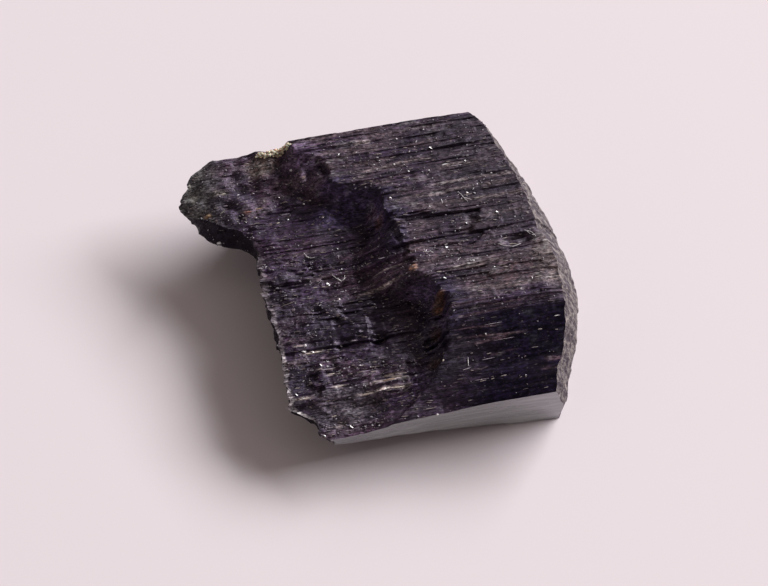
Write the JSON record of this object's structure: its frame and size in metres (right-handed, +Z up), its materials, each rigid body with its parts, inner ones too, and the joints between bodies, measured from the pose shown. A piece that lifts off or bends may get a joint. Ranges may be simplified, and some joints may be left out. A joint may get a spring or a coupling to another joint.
{
  "type": "arfvedsonite specimen",
  "caption": "Broken prism of a black, strongly striated amphibole crystal with a stepped top face, a low recess and an overhanging arm, lying on a flat cleavage face.",
  "frame": {"origin": "bottom centre of the bounding box, on the surface the crystal lies on", "axes": "+X along the striations (the crystal's c-axis) towards the thick broken end, +Y from the upright front face to the back face, +Z up through the stepped top face"},
  "size_m": [0.0284, 0.0238, 0.0073],
  "materials": {
    "amphibole": "black with a faint violet and brown sheen, finely striated along X, silky on the prism faces, rough and greyer on the broken ends, with a few rust-brown stains and pale grains"
  },
  "bodies": {
    "root": {"arfvedsonite_crystal": "amphibole"}
  },
  "joints": []
}
